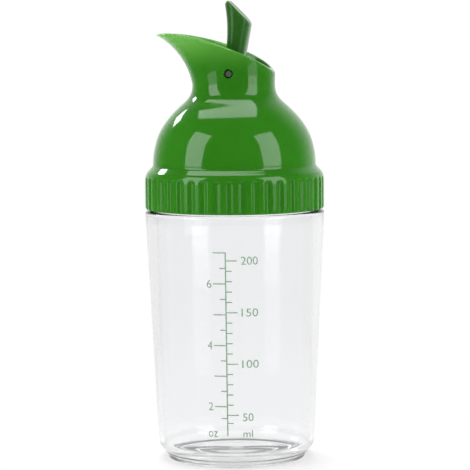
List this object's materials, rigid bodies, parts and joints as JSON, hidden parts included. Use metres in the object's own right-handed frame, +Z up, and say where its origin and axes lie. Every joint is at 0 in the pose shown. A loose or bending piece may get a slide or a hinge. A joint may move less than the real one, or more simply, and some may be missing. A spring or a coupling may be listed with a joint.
{
  "type": "salad dressing shaker",
  "caption": "Clear tapered bottle with a fluted screw lid drawn out into a pouring beak, closed by a thumb lever that lifts a silicone plug.",
  "frame": {"origin": "centre of the bottle's foot, on the surface it stands on", "axes": "+Z up along the bottle's axis, the beak points to -X, the printed scale faces -Y"},
  "size_m": [0.067, 0.067, 0.1709],
  "materials": {
    "clear_bottle": "clear moulded plastic, gloss, with a thin green-grey printed scale",
    "green_lid": "gloss moulded green plastic",
    "green_lever": "gloss moulded darker green plastic",
    "silicone": "soft translucent white silicone",
    "steel_pin": "cut and brushed steel pin"
  },
  "bodies": {
    "bottle": {"bottle": "clear_bottle"},
    "lift_ring": {"seal_ring": "silicone"},
    "lid": {"lid": "green_lid", "pivot_pin": "steel_pin"},
    "lever": {"lever": "green_lever", "plug_seal": "silicone"}
  },
  "joints": [
    {"name": "lid_lift", "type": "slide", "parent": "bottle", "child": "lift_ring", "axis": [0, 0, 1], "range_m": [0, 0.0091]},
    {"name": "lid_turn", "type": "hinge", "parent": "lift_ring", "child": "lid", "pos_m": [0, 0, 0.098], "axis": [0, 0, 1], "range_deg": [0, 360]},
    {"name": "lever_tilt", "type": "hinge", "parent": "lid", "child": "lever", "pos_m": [0, 0, 0.144], "axis": [0, 1, 0], "range_deg": [0, 40]}
  ],
  "couplings": [
    {"joint": "lid_lift", "follows": "lid_turn", "m_per_rad": 0.0014324}
  ]
}
